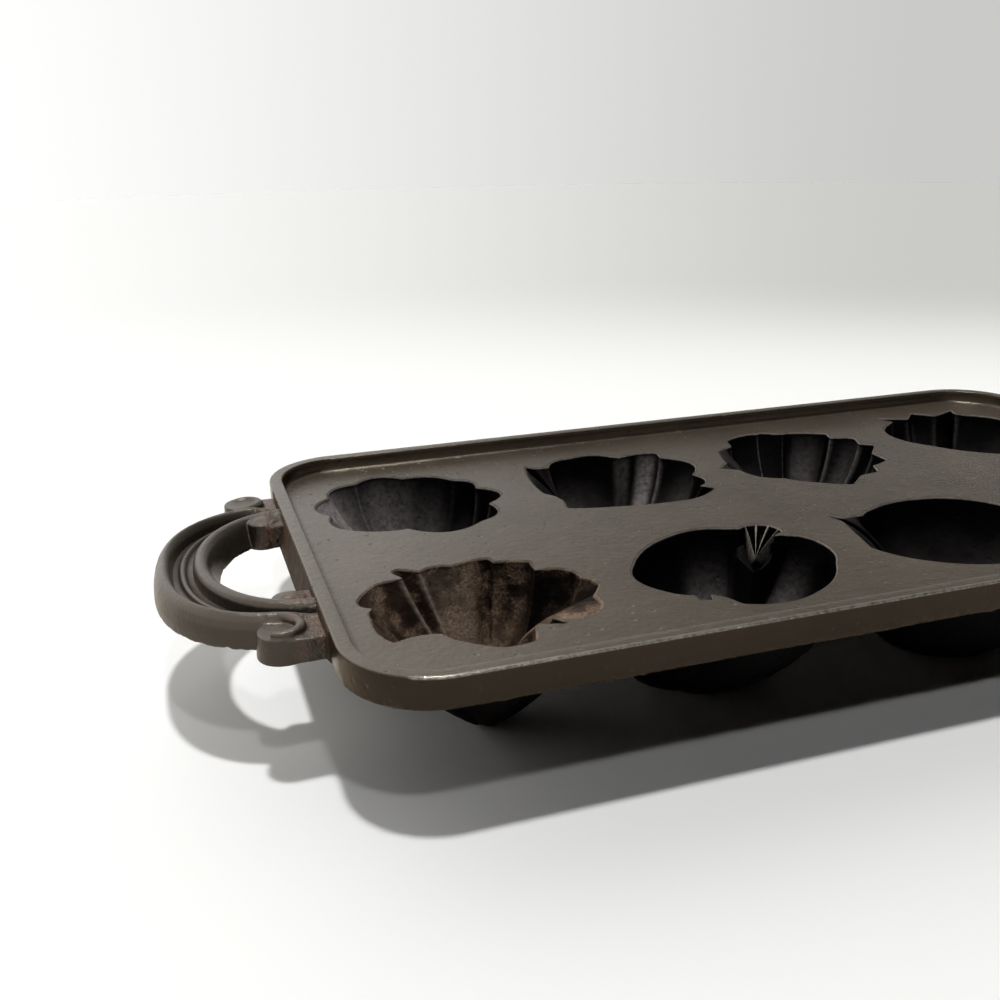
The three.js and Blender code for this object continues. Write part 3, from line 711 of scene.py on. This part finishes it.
bpy.ops.transform.vertex_random(offset=rimCast["ragged"] * mm, uniform=0.0, normal=0.0,
                                seed=rimCast["raggedSeed"])
bpy.ops.object.mode_set(mode="OBJECT")
# the front and back top edges are marked bright: partly wear, partly a painted highlight of the lamps on the
# rounded edge
wearAndPaintedLight = rim.data.attributes["wearAndPaintedLight"]
for vertex in rim.data.vertices:
    vertex.co.x = max(-endX, min(endX, vertex.co.x))      # the torn edge stays inside the plate's own size
    vertex.co.y = max(-sideY, min(sideY, vertex.co.y))
    atTop = vertex.co.z > rimZ - rimCast["rubbedAndLitFrom"] * mm
    atSide = abs(vertex.co.y) > sideY - rimCast["rubbedAndLitBand"] * mm
    rubbedAndLit = atTop and atSide and insetAt(vertex.co) < rimCast["rubbedAndLitInset"]
    wearAndPaintedLight.data[vertex.index].value = 1.0 if rubbedAndLit else 0.0
smoothByAngle(rim, 40)
dress(rim, deckIron, "deck_iron", "rim")
print("rim run round the plate")


# left handle, then its mirrored copy; sections are (out from the middle line, up from the foot)
handle = dict(
    steps=96, voxel=0.34, rounds=5, top=9.4, ragged=0.9, tear=0.7, back=0.4, bevel=0.6,
    flare=0.35, flareReach=1.6, sinkReach=6,
    bow=dict(reach=39.0, span=43.6, square=2.4, sink=0.2, section=[
        (2.2, 0.1), (2.5, 0.6), (2.3, 3.0), (1.7, 5.6), (0.9, 7.6), (0.0, 8.8), (-0.8, 9.4), (-1.6, 9.3),
        (-2.3, 8.5), (-2.9, 7.2), (-3.3, 5.6), (-3.4, 3.0), (-3.4, 0.6), (-3.1, 0.1)]),
    roll=dict(reach=27.7, span=36.5, square=2.0, sink=0, section=[
        (2.0, 0.1), (2.3, 0.6), (2.35, 3.0), (2.35, 6.0), (2.1, 7.8), (1.3, 9.0), (0.1, 9.4), (-1.1, 9.1),
        (-2.0, 8.2), (-2.6, 6.8), (-3.4, 4.8), (-4.4, 2.2), (-5.1, 0.6), (-4.8, 0.1)]),
    web=dict(reach=33.2, span=40.2, square=2.2, sink=0, narrow=1.8, widen=2.9, section=[
        (-1, 0.8), (1, 0.8), (1, 4.0), (1, 4.9), (0.5, 4.9), (0.2, 5.2), (0.08, 6.3), (-0.06, 6.6),
        (-0.2, 6.3), (-0.34, 5.2), (-0.62, 4.9), (-1, 4.9), (-1, 4.0)]),
    scroll=dict(x=10.6, y=48.6, aside=0.7, foot=6.9, radius=6.4, top=7.2, filled=1.3, dish=-0.3,
                bridge=12.0, bridgeAside=0.6, bead=1.55, start=62, end=308, lead=2.6, steps=32, sides=12),
    boss=dict(x=6.6, y=31, foot=5.4, radius=4.6, top=8.1, crown=1.2, bridge=9.8),
    root=dict(reach=2.3, thin=0.2, span=57, high=9.0, steps=40),
)


def onHandle(u, v, h):
    # u runs outwards from the end of the plate, v across it, h up from the foot of the handle
    return Vector((-endX - u * mm, v * mm, handleLow.z + h * mm))


def strapRings(strap, widen):
    # section stood on stations along a bow that is a little squarer than half an ellipse, root to root
    rings = []
    for step in range(handle["steps"] + 1):
        angle = -math.pi / 2 + math.pi * step / handle["steps"]
        power = 2 / strap["square"]
        ahead = max(0.0, math.cos(angle)) ** power
        aside = math.copysign(abs(math.sin(angle)) ** power, angle)
        u, v = strap["reach"] * ahead, strap["span"] * aside
        out = Vector((ahead ** (strap["square"] - 1) / strap["reach"],
                      math.copysign(abs(aside) ** (strap["square"] - 1), aside) / strap["span"])).normalized()
        width = widen(u)
        # the strap dips where its scroll takes over, and its foot is torn
        low = 1 - strap["sink"] * math.exp(-(max(0.0, u) / handle["sinkReach"]) ** 2)
        torn = handle["ragged"] * max(0.0, noise.noise(Vector((u * handle["tear"], v * handle["tear"], 2.5))))
        ring = []
        for w, h in strap["section"]:
            up = h * low + (torn if h < 1 else 0.0)
            ring.append(onHandle(u + out.x * w * width, v + out.y * w * width, up))
        rings.append(ring)
    return rings


def drum(x, y, foot, radius, top, dish):
    # round lump of iron, wider at its foot, with a dished or crowned top
    deselectAll()
    bpy.ops.mesh.primitive_cone_add(vertices=48, radius1=foot * mm, radius2=radius * mm, depth=top * mm,
                                    location=onHandle(x, y, top / 2))
    lump = bpy.context.object
    bpy.ops.object.transform_apply(location=True, rotation=True, scale=True)
    bpy.ops.object.mode_set(mode="EDIT")
    bpy.ops.mesh.select_all(action="DESELECT")
    shape = bmesh.from_edit_mesh(lump.data)
    for face in shape.faces:
        face.select_set(face.normal.z > 0.9)
    bmesh.update_edit_mesh(lump.data)
    for _ in range(2):
        bpy.ops.mesh.inset(thickness=0.35 * radius * mm, depth=0.5 * dish * mm)
    bpy.ops.object.mode_set(mode="OBJECT")
    return lump


def bridgeBlock(u, v, wide, top):
    # iron that fills the way from a lump back to the end of the plate
    deselectAll()
    back = handle["back"]
    bpy.ops.mesh.primitive_cube_add(size=1, location=onHandle((u - back) / 2, v, top / 2))
    block = bpy.context.object
    block.scale = ((u + back) * mm, wide * mm, top * mm)
    bpy.ops.object.transform_apply(location=True, rotation=True, scale=True)
    bpy.ops.object.mode_set(mode="EDIT")
    bpy.ops.mesh.select_all(action="SELECT")
    bpy.ops.mesh.bevel(offset=handle["bevel"] * mm, segments=2)
    bpy.ops.object.mode_set(mode="OBJECT")
    return block


def scrollLip(side):
    # bead of iron that leaves the strap and curls round the plate side of the scroll
    scroll = handle["scroll"]
    rings = []
    for step in range(scroll["steps"] + 1):
        part = step / scroll["steps"]
        angle = math.radians(scroll["start"] + (scroll["end"] - scroll["start"]) * part)
        away = scroll["radius"] - scroll["bead"] + scroll["lead"] * (1 - min(1, 3.5 * part)) ** 1.5
        bead = scroll["bead"] * (1 - 0.4 * part ** 3)
        out = Vector((math.cos(angle), math.sin(angle)))
        ring = []
        for turn in range(scroll["sides"]):
            about = turn * math.pi / (scroll["sides"] / 2)
            off = away + bead * math.cos(about)
            across = side * (scroll["y"] - out.y * off) + scroll["aside"]
            ring.append(onHandle(scroll["x"] + out.x * off, across,
                                 handle["top"] - bead - 0.5 * part ** 3 + bead * math.sin(about)))
        rings.append(ring)
    return extrudeRings("scrollLip", rings)


def flare(u):
    # a strap is wider where it leaves the plate
    return 1 + handle["flare"] * math.exp(-max(0.0, u) / handle["flareReach"])


def webWidth(u):
    # the groove between the straps opens towards the middle of the bow
    web = handle["web"]
    return web["narrow"] + web["widen"] * min(1.0, max(0.0, u) / web["reach"]) ** 1.1


bow = extrudeRings("handle_left_bow_cast", strapRings(handle["bow"], flare))
scroll = handle["scroll"]
parts = []
for side in (-1, 1):
    across = side * scroll["y"] + scroll["aside"]
    top = scroll["top"] + (scroll["filled"] if side > 0 else 0)      # the far scroll is nearly filled
    parts.append(drum(scroll["x"], across, scroll["foot"], scroll["radius"], top, scroll["dish"]))
    parts.append(bridgeBlock(scroll["x"], across + scroll["bridgeAside"] * side, scroll["bridge"],
                             scroll["top"] - 0.2))
    parts.append(scrollLip(side))
joinInto(bow, *parts)
castSoft(bow, handle["voxel"] * mm, handle["rounds"])

roll = extrudeRings("handle_left_roll_cast", strapRings(handle["roll"], flare))
boss = handle["boss"]
parts = []
for side in (-1, 1):
    parts.append(drum(boss["x"], side * boss["y"], boss["foot"], boss["radius"], boss["top"], boss["crown"]))
    parts.append(bridgeBlock(boss["x"], side * boss["y"], boss["bridge"], boss["top"] - 0.4))
joinInto(roll, *parts)
castSoft(roll, handle["voxel"] * mm, handle["rounds"])

web = extrudeRings("handle_left_web_cast", strapRings(handle["web"], webWidth))
castSoft(web, handle["voxel"] * mm, handle["rounds"])

# sloped foot of the plate's end wall, from one scroll to the other
rootCast = handle["root"]
rings = []
for step in range(rootCast["steps"] + 1):
    v = rootCast["span"] * (2 * step / rootCast["steps"] - 1)
    fade = min(1.0, 1.02 - (abs(v) / rootCast["span"]) ** 8)
    reach = rootCast["thin"] + (rootCast["reach"] - rootCast["thin"]) * fade
    rings.append([onHandle(u, v, h) for u, h in
                  ((-0.5, 0.1), (reach - 0.3, 0.1), (reach, 0.5), (rootCast["thin"], rootCast["high"] - 0.4),
                   (rootCast["thin"] - 0.15, rootCast["high"]), (-0.5, rootCast["high"]))])
root = extrudeRings("handle_left_root_cast", rings)
smoothByAngle(root, 40)

for piece, node in ((bow, "bow"), (roll, "roll"), (web, "web"), (root, "root")):
    iron = rootIron if node == "root" else handleIron
    dress(piece, iron, "handle_iron", "handle_left_" + node)
    pick(piece)
    bpy.ops.object.duplicate()
    twin = bpy.context.object
    twin.name = "handle_right_" + node + "_cast"
    bpy.ops.object.mode_set(mode="EDIT")
    bpy.ops.mesh.select_all(action="SELECT")
    bpy.ops.transform.resize(value=(-1, 1, 1), center_override=(0, 0, 0))
    bpy.ops.mesh.normals_make_consistent(inside=False)
    bpy.ops.object.mode_set(mode="OBJECT")
    del twin["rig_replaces"]
    dress(twin, iron, "handle_iron", "handle_right_" + node)
print("handles cast and mirrored")


# table, backdrop, light and camera
studio = dict(
    # the paper colours paint the lamps' falloff and a dim reflection
    white=(0.99, 0.99, 0.985), paper=(0.91, 0.91, 0.90), far=(0.54, 0.54, 0.53), mirrorShadeColour=(0.05, 0.05, 0.05),
    radius=2.4, around=128, cove=0.5, coveSteps=12, wall=3.0, glow=1.09, stand=(-0.2, -0.3, 0.0), lampAngle=4,
    overhead=dict(energy=1.8, way=(-0.013, -0.02, -1)), front=dict(energy=0.36, way=(-0.03, 0.51, -1)),
    skyLow=0.0, skyHigh=3.0, skyEdge=0.2, skyFrom=(-0.25, 0.96, -0.05), skyColour=(1, 0.99, 0.955, 1),
)


def paperColour(material, upright):
    # pale paper with painted light: whiter to the left and greyer far off to the right, a painted falloff of
    # the lamps; on the standing sheet, what the iron mirrors is painted dim high up to the right, a painted
    # reflection
    nodes, links = material.node_tree.nodes, material.node_tree.links
    coords = nodes.new("ShaderNodeTexCoord")
    split = nodes.new("ShaderNodeSeparateXYZ")
    links.new(coords.outputs["Object"], split.inputs["Vector"])

    def sums(how, *values):
        node = nodes.new("ShaderNodeMath")
        node.operation = how
        for socket, value in zip(node.inputs, values):
            if isinstance(value, float):
                socket.default_value = value
            else:
                links.new(value, socket)
        return node.outputs["Value"]

    def ramp(value, low, high, how="LINEAR"):
        node = nodes.new("ShaderNodeMapRange")
        node.interpolation_type = how
        node.inputs["From Min"].default_value = low
        node.inputs["From Max"].default_value = high
        links.new(value, node.inputs["Value"])
        return node.outputs["Result"]

    def mixed(share, first, second):
        node = nodes.new("ShaderNodeMix")
        node.data_type = "RGBA"
        links.new(share, node.inputs["Factor"])
        for socket, colour in ((node.inputs[6], first), (node.inputs[7], second)):
            if isinstance(colour, tuple):
                socket.default_value = colour + (1.0,)
            else:
                links.new(colour, socket)
        return node.outputs[2]

    x, y, z = split.outputs
    ahead = sums("MAXIMUM", sums("SUBTRACT", y, studio["stand"][1]), 0.05)
    turned = sums("DIVIDE", sums("SUBTRACT", x, studio["stand"][0]), ahead)
    paintedFalloff = sums("POWER", ramp(turned, -0.3, 0.85, "SMOOTHSTEP"), 0.8)
    paintedFalloff = sums("MULTIPLY", paintedFalloff, ramp(y, -0.3, 0.5, "SMOOTHSTEP"))
    paintedFarFalloff = mixed(paintedFalloff, studio["white"], studio["far"])
    if upright:
        mirrored = nodes.new("ShaderNodeLightPath")
        paintedMirrorShade = sums("MULTIPLY", ramp(x, 0.2, 1.4), ramp(z, 0.4, 0.9))
        return mixed(sums("MULTIPLY", paintedMirrorShade, mirrored.outputs["Is Glossy Ray"]), paintedFarFalloff, studio["mirrorShadeColour"])
    away = nodes.new("ShaderNodeVectorMath")
    away.operation = "DISTANCE"
    away.inputs[1].default_value = studio["stand"]
    links.new(coords.outputs["Object"], away.inputs[0])
    # whiter to the left: a painted pool of lamp light on the table
    paintedLeftLight = mixed(ramp(x, -0.3, 0.15), studio["white"], studio["paper"])
    return mixed(ramp(away.outputs["Value"], 0.5, 1.2, "SMOOTHERSTEP"), paintedLeftLight, paintedFarFalloff)


deselectAll()
bpy.ops.mesh.primitive_circle_add(vertices=studio["around"], radius=studio["radius"], fill_type="NGON")
table = bpy.context.object
table.name = "table"
paper = bpy.data.materials.new("paper")
paper.use_nodes = True
paperShader = paper.node_tree.nodes["Principled BSDF"]
paperShader.inputs["Roughness"].default_value = 0.9
paperShader.inputs["Specular IOR Level"].default_value = 0.0
paper.node_tree.links.new(paperColour(paper, False), paperShader.inputs["Base Color"])
table.data.materials.append(paper)

deselectAll()
bpy.ops.mesh.primitive_circle_add(vertices=studio["around"], radius=studio["radius"])
backdrop = bpy.context.object
backdrop.name = "backdrop"
bpy.ops.object.mode_set(mode="EDIT")
bpy.ops.mesh.select_all(action="SELECT")
radius = studio["radius"]
turn = math.pi / (2 * studio["coveSteps"])
stride = studio["cove"] * turn
for step in range(studio["coveSteps"]):     # swept up all round the table
    angle = (step + 0.5) * turn
    grown = radius + stride * math.cos(angle)
    bpy.ops.mesh.extrude_region_move(TRANSFORM_OT_translate={"value": (0, 0, stride * math.sin(angle))})
    bpy.ops.transform.resize(value=(grown / radius, grown / radius, 1), center_override=(0, 0, 0))
    radius = grown
bpy.ops.mesh.extrude_region_move(TRANSFORM_OT_translate={"value": (0, 0, studio["wall"])})
bpy.ops.object.mode_set(mode="OBJECT")
bpy.ops.object.shade_smooth()
glow = bpy.data.materials.new("backdropPaper")
glow.use_nodes = True
glow.node_tree.nodes.remove(glow.node_tree.nodes["Principled BSDF"])
shine = glow.node_tree.nodes.new("ShaderNodeEmission")
shine.inputs["Strength"].default_value = studio["glow"]
glow.node_tree.links.new(paperColour(glow, True), shine.inputs["Color"])
glow.node_tree.links.new(shine.outputs["Emission"], glow.node_tree.nodes["Material Output"].inputs["Surface"])
backdrop.data.materials.append(glow)
backdrop.visible_diffuse = False      # seen and mirrored, but it sheds no light on the pan
backdrop.visible_shadow = False

# lamp overhead and a weaker one behind the camera, as the two shadows show
for name in ("overhead", "front"):
    deselectAll()
    bpy.ops.object.light_add(type="SUN", location=(0, 0, 2))
    lamp = bpy.context.object
    lamp.name = name
    lamp.data.energy = studio[name]["energy"]
    lamp.data.angle = math.radians(studio["lampAngle"])
    lamp.rotation_euler = Vector(studio[name]["way"]).to_track_quat("-Z", "Y").to_euler()

# soft sky, brightest at the back
world = bpy.data.worlds.new("studio")
bpy.context.scene.world = world
world.use_nodes = True
skyNodes, skyLinks = world.node_tree.nodes, world.node_tree.links
skyCoords = skyNodes.new("ShaderNodeTexCoord")
towards = skyNodes.new("ShaderNodeVectorMath")
towards.operation = "DOT_PRODUCT"
towards.inputs[1].default_value = Vector(studio["skyFrom"]).normalized()
skyLinks.new(skyCoords.outputs["Generated"], towards.inputs[0])
strength = skyNodes.new("ShaderNodeMapRange")
strength.inputs["From Min"].default_value = studio["skyEdge"]
strength.inputs["To Min"].default_value = studio["skyLow"]
strength.inputs["To Max"].default_value = studio["skyHigh"]
skyLinks.new(towards.outputs["Value"], strength.inputs["Value"])
skyNodes["Background"].inputs["Color"].default_value = studio["skyColour"]
skyLinks.new(strength.outputs["Result"], skyNodes["Background"].inputs["Strength"])

# camera, in millimetres and degrees
view = dict(place=(-193.697, -299.910, 163.036), heading=17.84, dip=19.71, roll=1.04, lens=38.66, sensor=36)
heading, dip = math.radians(view["heading"]), math.radians(view["dip"])
ahead = Vector((math.sin(heading) * math.cos(dip), math.cos(heading) * math.cos(dip), -math.sin(dip)))
bpy.ops.object.camera_add(location=Vector(view["place"]) * mm)
camera = bpy.context.object
turned = ahead.to_track_quat("-Z", "Y").to_matrix().to_4x4()
camera.rotation_euler = (turned @ Matrix.Rotation(math.radians(-view["roll"]), 4, "Z")).to_euler()
camera.data.lens = view["lens"]
camera.data.sensor_width = view["sensor"]
bpy.context.scene.camera = camera
bpy.context.scene.view_settings.view_transform = "Standard"
print("studio set")
